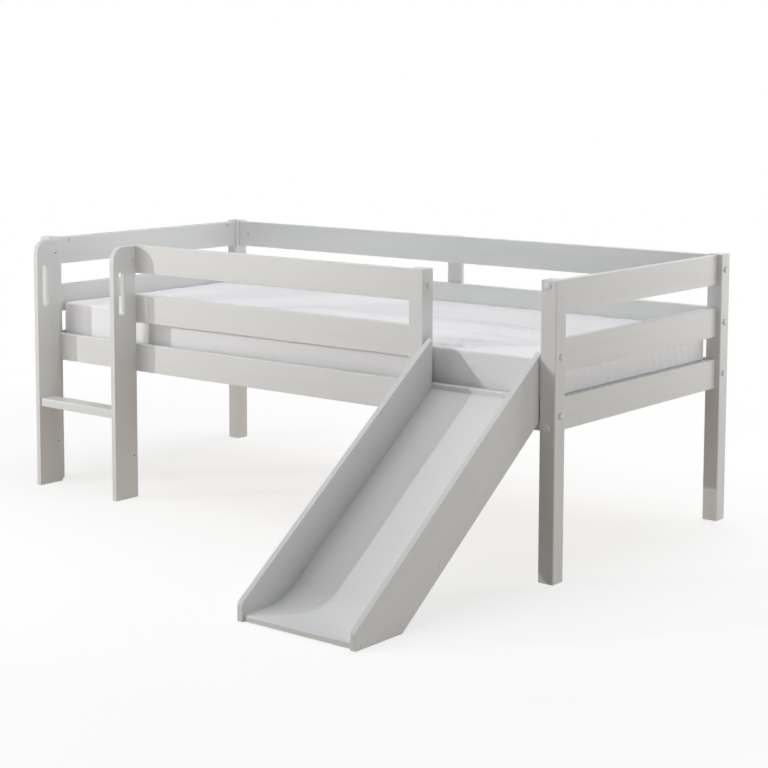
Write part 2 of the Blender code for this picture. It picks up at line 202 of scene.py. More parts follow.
# %% Lamps


def softbox(name, place, target, width, power, height=None):
    """An area lamp at a place on the drawing, aimed at another; square unless it has a height."""
    lamp_data = bpy.data.lights.new(name, "AREA")
    lamp_data.shape = "RECTANGLE"
    lamp_data.size = width
    lamp_data.size_y = height or width
    lamp_data.energy = power
    lamp = bpy.data.objects.new(name, lamp_data)
    scene.collection.objects.link(lamp)
    lamp.location = at(*place)
    lamp.rotation_euler = (at(*target) - lamp.location).to_track_quat("-Z", "Y").to_euler()


bed_middle = (1.04, 0.4, 0.45)
ladder_side = (0.8, 0.0, 0.5)
softbox("overhead_box", (1.4, -0.5, 4.2), bed_middle, 3.5, 68)
softbox("top_box", (1.0, 2.4, 3.9), bed_middle, 2.5, 56)
softbox("backdrop", (-4.2, 5.6, 1.7), bed_middle, 7.5, 66, height=2.6)
softbox("back_box", (1.0, 5.5, 2.5), bed_middle, 3.0, 46)
softbox("near_front_box", (0.2, -2.3, 2.0), ladder_side, 1.2, 8)
softbox("low_front_box", (-0.6, -2.4, 0.9), ladder_side, 1.2, 18)
softbox("low_side_box", (12.0, -2.9, 1.0), ladder_side, 4.0, 80)
softbox("low_right_box", (3.2, 2.6, 0.8), (1.4, 0.6, 0.4), 1.2, 13)
softbox("right_strip", (12.0, 0.9, 1.1), (1.0, 0.4, 0.5), 10.0, 250, height=1.75)

# %% [markdown]
# One hard lamp far to the left gives the crisp shadows of the ladder's boards, and even the thin
# stripe of light that falls through the hand slot onto the rail behind. It has a barn door: its
# light ends at a plane just over the front rails, so it doesn't reach the upper rail at the wall.
# A spot's cone makes such an edge. A very wide cone has a nearly straight one, and its axis is
# turned down from the plane by half the cone's angle.

# %% Hard lamp with a barn door
key_data = bpy.data.lights.new("key_lamp", "SPOT")
key_data.energy = 848
key_data.shadow_soft_size = 0.03
key_data.spot_size = math.radians(120)
key_data.spot_blend = 0.02
key_lamp = bpy.data.objects.new("key_lamp", key_data)
scene.collection.objects.link(key_lamp)
key_lamp.location = at(-4.970, -6.334, 2.631)
just_over_rails = at(1.04, 0.03, 0.95)
over_rails = (just_over_rails - key_lamp.location).normalized()
door_normal = Vector((1, 0, 0)).cross(over_rails).normalized()
half_cone = key_data.spot_size / 2
key_axis = over_rails * math.cos(half_cone) - door_normal * math.sin(half_cone)
key_lamp.rotation_euler = key_axis.to_track_quat("-Z", "Y").to_euler()
print("hard lamp aims", [round(v, 3) for v in key_axis])

# %% [markdown]
# ## Finishes
# A finish is a network of nodes. What several finishes share is built once, as a node group with
# named inputs and outputs, and placed in each material with its own values. These helpers make a
# group, add a node to it with its settings, and keep the wiring readable. A Mix node has its own
# sockets for each kind of data, so those for colours are found by their numbers, named here.

# %% Helpers for node groups
COLOUR_A, COLOUR_B, MIXED_COLOUR = 6, 7, 2
FLOAT_A, FLOAT_B = 2, 3


def new_group(name, inputs, outputs):
    """An empty shader node group with these sockets, given as name: kind."""
    group = bpy.data.node_groups.new(name, "ShaderNodeTree")
    for socket, kind in inputs.items():
        group.interface.new_socket(socket, in_out="INPUT", socket_type="NodeSocket" + kind)
    for socket, kind in outputs.items():
        group.interface.new_socket(socket, in_out="OUTPUT", socket_type="NodeSocket" + kind)
    return group, group.nodes.new("NodeGroupInput"), group.nodes.new("NodeGroupOutput")


def place(tree, kind, settings=None, **values):
    """Adds a node: settings are its own, and values are those of its sockets."""
    node = tree.nodes.new("ShaderNode" + kind)
    for key, value in (settings or {}).items():
        setattr(node, key, value)
    for key, value in values.items():
        node.inputs[key.replace("_", " ")].default_value = value
    return node


def wire(tree, source, target, name_from=0, name_to=0):
    """Joins one node's output to another's input."""
    tree.links.new(source.outputs[name_from], target.inputs[name_to])
    return target


# %% [markdown]
# Pine is painted here, but its grain still shows: the soft early wood sinks a little more under
# the lacquer than the hard late wood, so long fine lines run along each board, and now and then a
# knot. Noise squeezed across the board and drawn out along it makes such lines. The lacquer's
# own skin is a fine orange peel, left by the spray gun.

# %% Group: grain under lacquer


def stretched_noise(tree, source, scale, detail, roughness=0.55, distortion=0.4):
    """Noise drawn out along x: scale counts its waves a metre along and across the grain."""
    squeeze = place(tree, "Mapping", Scale=scale)
    wire(tree, source, squeeze, "Along", "Vector")
    pattern = place(tree, "TexNoise", Scale=1.0, Detail=detail, Roughness=roughness)
    pattern.inputs["Distortion"].default_value = distortion
    return wire(tree, squeeze, pattern, 0, "Vector")


grain, grain_in, grain_out = new_group(
    "grain_under_lacquer",
    {"Along": "Vector", "Paint": "Color", "Grain tone": "Color", "Show": "Float", "Gloss": "Float"},
    {"Color": "Color", "Roughness": "Float", "Height": "Float"},
)
fine_lines = stretched_noise(grain, grain_in, (1.3, 34, 34), 7)
broad_bands = stretched_noise(grain, grain_in, (0.7, 9, 9), 2)
orange_peel = place(grain, "TexNoise", Scale=520.0, Detail=1.0)
wire(grain, grain_in, orange_peel, "Along", "Vector")
print("group:", grain.name, len(grain.nodes), "nodes so far")

# %% [markdown]
# A knot is where a branch grew: a small round spot with the grain flowing round it. Voronoi
# cells give one centre each, so only the smallest distances are kept, which leaves a small spot in
# every cell.

# %% Group: knots and the colour of the lacquer
knot_cells = place(grain, "Mapping", Scale=(2.6, 10, 10))
wire(grain, grain_in, knot_cells, "Along", "Vector")
knots = place(grain, "TexVoronoi", Scale=1.0, Randomness=1.0)
wire(grain, knot_cells, knots, 0, "Vector")
smooth = {"interpolation_type": "SMOOTHSTEP"}
knot_spot = place(grain, "MapRange", smooth, From_Min=0.05, From_Max=0.13, To_Min=1.0, To_Max=0.0)
wire(grain, knots, knot_spot, "Distance", "Value")
line_share = place(grain, "MapRange", smooth, From_Min=0.42, From_Max=0.72, To_Min=0.0, To_Max=0.8)
wire(grain, fine_lines, line_share, "Fac", "Value")
band_share = place(grain, "MapRange", From_Min=0.35, From_Max=0.65, To_Min=0.0, To_Max=0.45)
wire(grain, broad_bands, band_share, "Fac", "Value")
lines_and_bands = place(grain, "Math", {"operation": "ADD"})
wire(grain, line_share, lines_and_bands, 0, 0)
wire(grain, band_share, lines_and_bands, 0, 1)
with_knots = place(grain, "Math", {"operation": "MAXIMUM"})
wire(grain, lines_and_bands, with_knots, 0, 0)
wire(grain, knot_spot, with_knots, 0, 1)
tone_share = place(grain, "Math", {"operation": "MULTIPLY", "use_clamp": True})
wire(grain, with_knots, tone_share, 0, 0)
wire(grain, grain_in, tone_share, "Show", 1)
tone = place(grain, "Mix", {"data_type": "RGBA"})
wire(grain, tone_share, tone, 0, 0)
wire(grain, grain_in, tone, "Paint", COLOUR_A)
wire(grain, grain_in, tone, "Grain tone", COLOUR_B)
wire(grain, tone, grain_out, MIXED_COLOUR, "Color")
print("group:", grain.name, len(grain.nodes), "nodes so far")

# %% Group: roughness and height of the lacquer
rougher = place(grain, "Math", {"operation": "MULTIPLY_ADD"})
rougher.inputs[1].default_value = 0.10
wire(grain, fine_lines, rougher, "Fac", 0)
wire(grain, grain_in, rougher, "Gloss", 2)
wire(grain, rougher, grain_out, 0, "Roughness")
sunk_lines = place(grain, "Math", {"operation": "MULTIPLY_ADD"})
sunk_lines.inputs[1].default_value = -0.8
wire(grain, with_knots, sunk_lines, 0, 0)
peel_height = place(grain, "Math", {"operation": "MULTIPLY"})
peel_height.inputs[1].default_value = 0.25
wire(grain, orange_peel, peel_height, "Fac", 0)
wire(grain, peel_height, sunk_lines, 0, 2)
wire(grain, sunk_lines, grain_out, 0, "Height")
print("group:", grain.name, len(grain.nodes), "nodes")

# %% [markdown]
# Along a sanded edge the lacquer is thinner, and the edges are painted lighter: partly that
# thinner lacquer, partly a painted highlight along each arris. A Bevel node gives the normal that
# a rounder edge would have: where it differs from the true one there is an edge, so their dot
# product makes a mask that follows every arris, whatever the piece's shape.

# %% Group: thin lacquer and a painted highlight on the edges
arris, arris_in, arris_out = new_group("thin_lacquer_and_painted_highlight_on_edges", {"Width": "Float"}, {"Edge": "Float"})
rounded = place(arris, "Bevel", {"samples": 4})
wire(arris, arris_in, rounded, "Width", "Radius")
true_normal = place(arris, "NewGeometry")
alike = place(arris, "VectorMath", {"operation": "DOT_PRODUCT"})
wire(arris, rounded, alike, 0, 0)
wire(arris, true_normal, alike, "Normal", 1)
edge_mask = place(arris, "MapRange", From_Min=0.995, From_Max=0.90, To_Min=0.0, To_Max=1.0)
wire(arris, alike, edge_mask, "Value", "Value")
wire(arris, edge_mask, arris_out, 0, "Edge")
print("group:", arris.name)

# %% [markdown]
# One lacquer, several directions: a board's grain runs along its length, so rails, posts and
# slide boards need the same finish turned. A Mapping node in each material turns the object's
# coordinates until the grain's x runs along the board.

# %% Lacquered pine


def bump_to(tree, source, shader, depth):
    """Turns a height into a normal; depth is how tall a height of 1 stands."""
    bump = place(tree, "Bump", Strength=1.0, Distance=depth)
    tree.links.new(source, bump.inputs["Height"])
    tree.links.new(bump.outputs["Normal"], shader.inputs["Normal"])
    return bump


def grouped(tree, group, **values):
    """Places a node group in a material with its own values."""
    node = tree.nodes.new("ShaderNodeGroup")
    node.node_tree = group
    for key, value in values.items():
        node.inputs[key.replace("_", " ")].default_value = value
    return node


def coordinates_turned(tree, turn):
    """The object's own coordinates, turned by these degrees about x, y and z."""
    own = place(tree, "TexCoord")
    turned = place(tree, "Mapping", Rotation=[math.radians(angle) for angle in turn])
    return wire(tree, own, turned, "Object", "Vector")


paint = (0.768, 0.777, 0.777)
grain_tint = (0.87, 0.865, 0.84)
# The edges' lighter colour: partly thinner lacquer, partly a painted highlight.
thin_paint_and_painted_highlight = (0.90, 0.905, 0.91, 1)


def lacquer(name, turn):
    """White lacquer over pine, with its coordinates turned so that x runs along the grain."""
    material = bpy.data.materials.new(name)
    material.use_nodes = True
    tree = material.node_tree
    shader = tree.nodes["Principled BSDF"]
    skin = grouped(tree, grain, Paint=(*paint, 1), Show=0.22, Gloss=0.36)
    sunk_tone = [white_part * tint for white_part, tint in zip(paint, grain_tint)]
    skin.inputs["Grain tone"].default_value = (*sunk_tone, 1)
    wire(tree, coordinates_turned(tree, turn), skin, 0, "Along")
    # Every arris is mixed towards that lighter colour: a painted highlight along the edges, with
    # some wear.
    edges = grouped(tree, arris, Width=0.004)
    bright = place(tree, "Mix", {"data_type": "RGBA"})
    bright.inputs[COLOUR_B].default_value = thin_paint_and_painted_highlight
    tree.links.new(edges.outputs["Edge"], bright.inputs["Factor"])
    tree.links.new(skin.outputs["Color"], bright.inputs[COLOUR_A])
    tree.links.new(bright.outputs[MIXED_COLOUR], shader.inputs["Base Color"])
    tree.links.new(skin.outputs["Roughness"], shader.inputs["Roughness"])
    bump_to(tree, skin.outputs["Height"], shader, depth=0.00025)
    return material


slide_slope = 36.4
paint_along_x = lacquer("lacquered_pine_long", (0, 0, 0))
paint_along_y = lacquer("lacquered_pine_end", (0, 0, -90))
paint_upright = lacquer("lacquered_pine_upright", (0, 90, 0))
paint_on_slope = lacquer("lacquered_pine_slope", (-slide_slope, 0, -90))
print("lacquers:", [m.name for m in (paint_along_x, paint_along_y, paint_upright, paint_on_slope)])

# %% [markdown]
# The slide's sheet is thin board with a hard smooth coating, a little cooler and glossier than
# the lacquered pine. Children's clothes polish it down the middle and leave fine rubs along the
# way they go, so its roughness has streaks that run down the slope.

# %% Coated sheet of the slide
sheet_look = bpy.data.materials.new("coated_slide_sheet")
sheet_look.use_nodes = True
sheet_tree = sheet_look.node_tree
sheet_shader = sheet_tree.nodes["Principled BSDF"]
down_slope = coordinates_turned(sheet_tree, (-slide_slope, 0, -90))
rubs = place(sheet_tree, "Mapping", Scale=(1.5, 60, 60))
wire(sheet_tree, down_slope, rubs, 0, "Vector")
rub_lines = place(sheet_tree, "TexNoise", Scale=1.0, Detail=5.0, Roughness=0.6)
wire(sheet_tree, rubs, rub_lines, 0, "Vector")
cloudy = place(sheet_tree, "TexNoise", Scale=5.0, Detail=2.0)
wire(sheet_tree, down_slope, cloudy, 0, "Vector")
sheet_gloss = place(sheet_tree, "MapRange", From_Min=0.3, From_Max=0.7, To_Min=0.34, To_Max=0.42)
wire(sheet_tree, rub_lines, sheet_gloss, "Fac", "Value")
wire(sheet_tree, sheet_gloss, sheet_shader, 0, "Roughness")
sheet_tone = place(sheet_tree, "Mix", {"data_type": "RGBA"})
sheet_tone.inputs[COLOUR_A].default_value = (0.81, 0.815, 0.825, 1)
sheet_tone.inputs[COLOUR_B].default_value = (0.79, 0.795, 0.805, 1)
wire(sheet_tree, cloudy, sheet_tone, "Fac", "Factor")
wire(sheet_tree, sheet_tone, sheet_shader, MIXED_COLOUR, "Base Color")
bump_to(sheet_tree, rub_lines.outputs["Fac"], sheet_shader, depth=0.000012)
print("finish:", sheet_look.name)

# %% [markdown]
# The slats and the cleats they lie on are bare planed pine: cream early wood, honey late wood,
# and brown knots. It is the same grain group with real wood colours and its full strength, and
# with a matt surface, since nothing coats it.

# %% Bare pine


def bare_pine(name, turn):
    """Planed pine with nothing on it, turned as the lacquer is."""
    material = bpy.data.materials.new(name)
    material.use_nodes = True
    tree = material.node_tree
    shader = tree.nodes["Principled BSDF"]
    wood = grouped(tree, grain, Paint=(0.76, 0.60, 0.40, 1), Show=1.0, Gloss=0.52)
    wood.inputs["Grain tone"].default_value = (0.56, 0.36, 0.17, 1)
    wire(tree, coordinates_turned(tree, turn), wood, 0, "Along")
    tree.links.new(wood.outputs["Color"], shader.inputs["Base Color"])
    tree.links.new(wood.outputs["Roughness"], shader.inputs["Roughness"])
    bump_to(tree, wood.outputs["Height"], shader, depth=0.0004)
    return material


pine_along_x = bare_pine("bare_pine_long", (0, 0, 0))
pine_along_y = bare_pine("bare_pine_cross", (0, 0, -90))
print("finishes:", pine_along_x.name, pine_along_y.name)

# %% [markdown]
# The bolts' caps are moulded in a pale plastic that nearly matches the lacquer. The nuts and
# screws behind them are zinc plated: metal, with the faint cloudy crystals of the plating.

# %% Caps and plated steel


def speckled(name, light, dark, gloss, metallic, scale):
    """A small part's finish: two near tones in a fine speckle, with its own gloss."""
    material = bpy.data.materials.new(name)
    material.use_nodes = True
    tree = material.node_tree
    shader = tree.nodes["Principled BSDF"]
    shader.inputs["Metallic"].default_value = metallic
    own = place(tree, "TexCoord")
    speckle = place(tree, "TexNoise", Scale=scale, Detail=3.0)
    wire(tree, own, speckle, "Object", "Vector")
    two_tones = place(tree, "Mix", {"data_type": "RGBA"})
    two_tones.inputs[COLOUR_A].default_value = light
    two_tones.inputs[COLOUR_B].default_value = dark
    wire(tree, speckle, two_tones, "Fac", "Factor")
    wire(tree, two_tones, shader, MIXED_COLOUR, "Base Color")
    matt = place(tree, "Math", {"operation": "MULTIPLY_ADD"})
    matt.inputs[1].default_value = 0.12
    matt.inputs[2].default_value = gloss
    wire(tree, speckle, matt, "Fac", 0)
    wire(tree, matt, shader, 0, "Roughness")
    bump_to(tree, speckle.outputs["Fac"], shader, depth=0.00005)
    return material


cap_plastic = speckled("cap_plastic", (0.84, 0.84, 0.84, 1), (0.78, 0.78, 0.79, 1), 0.22, 0.0, 300)
zinc = speckled("zinc_plated_steel", (0.66, 0.66, 0.64, 1), (0.48, 0.49, 0.50, 1), 0.26, 1.0, 900)
print("finishes:", cap_plastic.name, zinc.name)

# %% [markdown]
# The sheet is percale: a plain weave, each thread going over one and under the next. Two sets of
# waves, one a thread wide each way, give the threads' round backs, and a checker says which set
# is on top. The group takes coordinates in metres and the number of threads a metre, so any cloth
# of the object can use it.

# %% Group: plain weave
weave, weave_in, weave_out = new_group(
    "plain_weave", {"Along": "Vector", "Threads": "Float"}, {"Height": "Float", "Over": "Float"}
)
thread_count = place(weave, "VectorMath", {"operation": "SCALE"})
wire(weave, weave_in, thread_count, "Along", 0)
wire(weave, weave_in, thread_count, "Threads", "Scale")
each_way = wire(weave, thread_count, place(weave, "SeparateXYZ"))
over_under = place(weave, "TexChecker", Scale=1.0)
wire(weave, thread_count, over_under, 0, "Vector")
backs = []
for way in ("X", "Y"):
    half_waves = place(weave, "Math", {"operation": "MULTIPLY"})
    half_waves.inputs[1].default_value = math.pi
    wire(weave, each_way, half_waves, way)
    wave = wire(weave, half_waves, place(weave, "Math", {"operation": "SINE"}))
    backs.append(wire(weave, wave, place(weave, "Math", {"operation": "ABSOLUTE"})))
woven = place(weave, "Mix", {"data_type": "FLOAT"})
wire(weave, over_under, woven, "Fac", 0)
wire(weave, backs[0], woven, 0, FLOAT_A)
wire(weave, backs[1], woven, 0, FLOAT_B)
wire(weave, woven, weave_out, 0, "Height")
wire(weave, over_under, weave_out, "Fac", "Over")
print("group:", weave.name, len(weave.nodes), "nodes")

# %% [markdown]
# Washed cotton is never quite flat or quite one white: it has slubs, where a thread is thicker,
# and a fine crumple left by drying. The crumple is a bump of one noise, added to the weave's, since
# the mesh carries the larger folds. A little sheen stands for the fuzz that catches light at the
# edges.

# %% Cotton of the sheet


def cotton(name, light, shade, threads, crumple):
    """A woven cotton: its two near whites, its threads a metre, and how much it is crumpled."""
    material = bpy.data.materials.new(name)
    material.use_nodes = True
    tree = material.node_tree
    shader = tree.nodes["Principled BSDF"]
    shader.inputs["Sheen Weight"].default_value = 0.12
    shader.inputs["Sheen Roughness"].default_value = 0.5
    own = place(tree, "TexCoord")
    cloth_weave = grouped(tree, weave, Threads=threads)
    wire(tree, own, cloth_weave, "UV", "Along")
    slubs = place(tree, "Mapping", Scale=(9, 420, 1))
    wire(tree, own, slubs, "UV", "Vector")
    slub_noise = place(tree, "TexNoise", Scale=1.0, Detail=2.0)
    wire(tree, slubs, slub_noise, 0, "Vector")
    soft_crumple = place(tree, "TexNoise", Scale=40.0, Detail=4.0, Roughness=0.6)
    wire(tree, own, soft_crumple, "Object", "Vector")
    tones = place(tree, "Mix", {"data_type": "RGBA"})
    tones.inputs[COLOUR_A].default_value = light
    tones.inputs[COLOUR_B].default_value = shade
    wire(tree, slub_noise, tones, "Fac", "Factor")
    wire(tree, tones, shader, MIXED_COLOUR, "Base Color")
    fuzz = place(tree, "Math", {"operation": "MULTIPLY_ADD"})
    fuzz.inputs[1].default_value = 0.12
    fuzz.inputs[2].default_value = 0.80
    wire(tree, slub_noise, fuzz, "Fac", 0)
    wire(tree, fuzz, shader, 0, "Roughness")
    thread_height = place(tree, "Math", {"operation": "MULTIPLY"})
    thread_height.inputs[1].default_value = 0.05
    wire(tree, cloth_weave, thread_height, "Height", 0)
    cloth_height = place(tree, "Math", {"operation": "MULTIPLY_ADD"})
    cloth_height.inputs[1].default_value = crumple
    wire(tree, soft_crumple, cloth_height, "Fac", 0)
    wire(tree, thread_height, cloth_height, 0, 2)
    bump_to(tree, cloth_height.outputs[0], shader, depth=0.001)
    return material


cotton_sheet = cotton("white_cotton_sheet", (0.93, 0.93, 0.95, 1), (0.89, 0.89, 0.91, 1), 2400, 1.5)
ticking = cotton("mattress_ticking", (0.74, 0.72, 0.68, 1), (0.66, 0.64, 0.60, 1), 1500, 0.8)
print("cloth:", cotton_sheet.name, ticking.name)

# %% [markdown]
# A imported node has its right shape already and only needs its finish. Its name tells what it is,
# and so which way its grain runs: rails along x, end rails along y, posts and ladder upright.

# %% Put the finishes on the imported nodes
upright = ("post_", "ladder_board", "slide_post", "back_stile")


def finish_for(node_name):
    """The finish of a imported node, told from the start of its name."""
    if node_name.startswith(("slide_nose", "slide_hanger", "slide_batten")):
        return paint_along_x
    if node_name.startswith("slide_board"):
        return paint_on_slope
    if node_name == "slide_chute":
        return sheet_look
    if node_name.startswith("end_rail"):
        return paint_along_y
    if node_name.startswith(upright):
        return paint_upright
    if node_name.startswith("slat_cleat"):
        return pine_along_x
    if node_name.startswith("slat_"):
        return pine_along_y
    if node_name.startswith("bolt_"):
        return cap_plastic
    return paint_along_x


for node_name, node in nodes.items():
    node.data.materials.clear()
    node.data.materials.append(finish_for(node_name))
print("dressed", len(nodes), "nodes")

# %% [markdown]
# ## Caps, plugs and screws
# Small fasteners repeat all over a flat-pack bed, so each kind is modelled once, at the origin
# with its flat side on z = 0 and in its finish, and copied. A copy gets its own mesh, already
# moved and turned to its place, so that every object stays at the origin.

# %% Helpers for modelling by hand


def begin():
    """Leaves nothing selected, so that an operator acts on the new piece alone."""
    if bpy.context.mode != "OBJECT":
        bpy.ops.object.mode_set(mode="OBJECT")
    bpy.ops.object.select_all(action="DESELECT")


def pick_faces(obj, wanted):
    """In edit mode, selects the faces for which wanted(face) is true."""
    bpy.ops.mesh.select_mode(type="FACE")
    bpy.ops.mesh.select_all(action="DESELECT")
    shape = bmesh.from_edit_mesh(obj.data)
    for face in shape.faces:
        face.select_set(wanted(face))
    bmesh.update_edit_mesh(obj.data)


def turned_disc(name, look, radius, height, sides):
    """A short cylinder standing on z = 0 in its finish, left in edit mode."""
    begin()
    bpy.ops.mesh.primitive_cylinder_add(
        vertices=sides, radius=radius, depth=height, location=(0, 0, height / 2)
    )
    obj = bpy.context.object
    obj.name = name
    obj.data.materials.append(look)
    bpy.ops.object.transform_apply(location=True, rotation=True, scale=True)
    bpy.ops.object.mode_set(mode="EDIT")
    return obj


def top_face(face):
    """The disc's upper face, which has many corners, where its sides have four."""
    return face.normal.z > 0.9 and len(face.verts) > 4


def inset_and_lift(obj, steps):
    """Insets the top face and moves it up, once for each pair, then leaves edit mode."""
    for inset, lift in steps:
        pick_faces(obj, top_face)
        bpy.ops.mesh.inset(thickness=inset, depth=0)
        bpy.ops.transform.translate(value=(0, 0, lift))
    bpy.ops.object.mode_set(mode="OBJECT")


def copy_to(original, name, spot, facing):
    """A copy of a small part with its own mesh, its z turned to face a direction."""
    mesh = original.data.copy()
    turn = Vector(facing).to_track_quat("Z", "Y").to_matrix().to_4x4()
    mesh.transform(Matrix.Translation(at(*spot)) @ turn)
    obj = bpy.data.objects.new(name, mesh)
    scene.collection.objects.link(obj)
    mesh.shade_smooth()
    mesh.set_sharp_from_angle(angle=math.radians(40))
    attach(obj, "bed_frame")


# %% [markdown]
# The domed cap is pushed over a bolt's head. Its top is inset and pulled up three times, less
# each time, which is how a dome is made by hand from a disc. The flat cap and the screw cap are
# made in the same way, with lower steps.

# %% Model the domed cap
domed_cap = turned_disc("domed_cap", cap_plastic, radius=0.0100, height=0.0016, sides=20)
inset_and_lift(domed_cap, ((0.0016, 0.0014), (0.0026, 0.0012), (0.0028, 0.0006)))
print("domed cap:", len(domed_cap.data.polygons), "faces")

# %% Model the flat cap and the screw cap
flat_cap = turned_disc("flat_cap", cap_plastic, radius=0.0108, height=0.0014, sides=24)
inset_and_lift(flat_cap, ((0.0012, 0.0011), (0.0022, 0.0007), (0.0030, 0.0003)))
screw_cap = turned_disc("screw_cap", cap_plastic, radius=0.0060, height=0.0007, sides=16)
inset_and_lift(screw_cap, ((0.0008, 0.0005), (0.0020, 0.0003)))
print("flat cap:", len(flat_cap.data.polygons), "screw cap:", len(screw_cap.data.polygons))

# %% [markdown]
# Where a bolt comes in from the end of a rail, a barrel nut waits for it across the rail. Only
# its slotted end shows on the inner face. The slot is cut with bisect lines and pushed in. A
# slat's screw has a low head with a round recess.

# %% Model the barrel nut and the slat screw
slot_side = 0.0009


def slot_face(face):
    """The strip of the nut's end between the two cuts."""
    return face.normal.z > 0.9 and abs(face.calc_center_median().y) < slot_side


barrel_nut = turned_disc("barrel_nut", zinc, radius=0.0050, height=0.0006, sides=20)
for offset in (-slot_side, slot_side):
    bpy.ops.mesh.select_all(action="SELECT")
    bpy.ops.mesh.bisect(plane_co=(0, offset, 0), plane_no=(0, 1, 0))
pick_faces(barrel_nut, slot_face)
bpy.ops.mesh.inset(thickness=0.0001, depth=0)
bpy.ops.transform.translate(value=(0, 0, -0.0004))
bpy.ops.object.mode_set(mode="OBJECT")
slat_screw = turned_disc("slat_screw", zinc, radius=0.0040, height=0.0004, sides=12)
inset_and_lift(slat_screw, ((0.0012, 0.0003), (0.0010, -0.0005)))
print("barrel nut:", len(barrel_nut.data.polygons), "slat screw:", len(slat_screw.data.polygons))

# %% [markdown]
# The end rails are pulled to the posts by bolts that come in through the posts' front and back,
# one near each rail's outer edge, so they miss the bolts of the long rails. The front posts carry
# a cap at the middle rail's height and a small plug on their outer sides. Every cap is sunk a
# hair into the wood, so that no slit of light shows under it.

# %% Caps on the posts
sunk = 0.0002
bed_long, bed_wide, rail_centre = 2.080, 0.980, 0.0275
rail_heights = {"lower": 0.4645, "middle": 0.625, "upper": 0.7875}
end_bolts = (("upper", 0.821), ("lower", 0.432))
plug_height = 0.789
for end, x, face, out in (
    ("left", rail_centre, 0, -1),
    ("right", bed_long - rail_centre, bed_long, 1),
):
    for level, z in end_bolts:
        copy_to(flat_cap, f"cap_front_{end}_{level}", (x, sunk, z), (0, -1, 0))
        copy_to(flat_cap, f"cap_back_{end}_{level}", (x, bed_wide - sunk, z), (0, 1, 0))
    seat = face - out * sunk
    middle_spot = (seat, rail_centre, rail_heights["middle"])
    copy_to(domed_cap, f"cap_post_{end}_middle", middle_spot, (out, 0, 0))
    copy_to(screw_cap, f"plug_post_{end}_upper", (seat, rail_centre, plug_height), (out, 0, 0))

# %% [markdown]
# Each slide board is screwed to the ends of the four battens and the nose bar, and each ladder
# board to the step's end with two screws.

# %% Caps on the slide boards and the ladder boards
slide_caps = ((-0.236, 0.295), (-0.444, 0.142), (-0.604, 0.026), (-0.697, 0.0105), (-0.758, 0.0105))
step_caps = ((-0.062, 0.286), (-0.028, 0.285))
for side, slide_face, ladder_face, out in (
    ("left", 1.6355, 0.0605, -1),
    ("right", 2.0255, 0.448, 1),
):
    for number, (y, z) in enumerate(slide_caps, start=1):
        spot = (slide_face - out * sunk, y, z)
        copy_to(screw_cap, f"cap_slide_{side}_{number}", spot, (out, 0, 0))
    for number, (y, z) in enumerate(step_caps, start=1):
        spot = (ladder_face - out * sunk, y, z)
        copy_to(screw_cap, f"cap_step_{side}_{number}", spot, (out, 0, 0))
print("caps placed")

# %% [markdown]
# The nuts show on the rails' inner faces, near both ends of each rail. Those of the end rails
# are level with the flat caps, whose bolts they hold.

# %% Barrel nuts on the rails' inner faces
rail_inside = 0.039
nut_from_corner = 0.095
for end, x in (("left", nut_from_corner), ("right", bed_long - nut_from_corner)):
    front_spot = (x, rail_inside - sunk, rail_heights["lower"])
    copy_to(barrel_nut, f"nut_front_{end}", front_spot, (0, 1, 0))
    for level, z in rail_heights.items():
        back_spot = (x, bed_wide - rail_inside + sunk, z)
        copy_to(barrel_nut, f"nut_back_{end}_{level}", back_spot, (0, -1, 0))
for end, x, into in (("left", rail_inside, 1), ("right", bed_long - rail_inside, -1)):
    for level, z in reversed(end_bolts):
        for side, y in (("front", nut_from_corner), ("back", bed_wide - nut_from_corner)):
            spot = (x - into * sunk, y, z)
            copy_to(barrel_nut, f"nut_end_{end}_{level}_{side}", spot, (into, 0, 0))

# %% [markdown]
# A screw at each end holds a slat to its cleat. Its place is read from the slat's own box.

# %% Screws that hold the slats to the cleats
screw_from_side = 0.049
head_sunk = 0.0001
slat_names = [name for name in sorted(nodes) if name.startswith("slat_") and name[5].isdigit()]
for name in slat_names:
    low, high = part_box(name)
    middle_x = (low.x + high.x) / 2 - drawing_origin.x
    for side, y in (("front", screw_from_side), ("back", bed_wide - screw_from_side)):
        spot = (middle_x, y, high.z - head_sunk)
        copy_to(slat_screw, f"screw_{name}_{side}", spot, (0, 0, 1))
for original in (domed_cap, flat_cap, screw_cap, barrel_nut, slat_screw):
    bpy.data.objects.remove(original, do_unlink=True)
small_parts = [o for o in scene.objects if o.name.startswith(("cap_", "plug_", "nut_", "screw_"))]
print("small parts:", len(small_parts))

# %% [markdown]
# ## The mattress in its fitted sheet
# The mattress is a block of foam, and a white cotton sheet with elastic in its hem is pulled over
# it, so no cover shows from above. A rounded box would look hard: cotton bows out between the
# corners and lies in long low folds. So a plain block is rounded in edit mode and given an even
# mesh, and the cloth simulation then blows it up a little, like a bag of air.

# %% Round the foam block
foam_low, foam_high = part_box("mattress")
swell_room = Vector((-0.007, 0.002, 0))
crown = 0.013
block_low = foam_low + swell_room
block_high = foam_high - swell_room - Vector((0, 0, crown))


def pick_edges(obj, wanted):
    """In edit mode, selects the edges for which wanted(edge) is true."""
    bpy.ops.mesh.select_mode(type="EDGE")
    bpy.ops.mesh.select_all(action="DESELECT")
    shape = bmesh.from_edit_mesh(obj.data)
    for edge in shape.edges:
        edge.select_set(wanted(edge))
    bmesh.update_edit_mesh(obj.data)


def upright_edge(edge):
    """An edge at one of the block's four corners."""
    return abs(edge.verts[0].co.z - edge.verts[1].co.z) > 0.05


def rim_edge(edge):
    """An edge round the block's top or bottom."""
    return not upright_edge(edge)


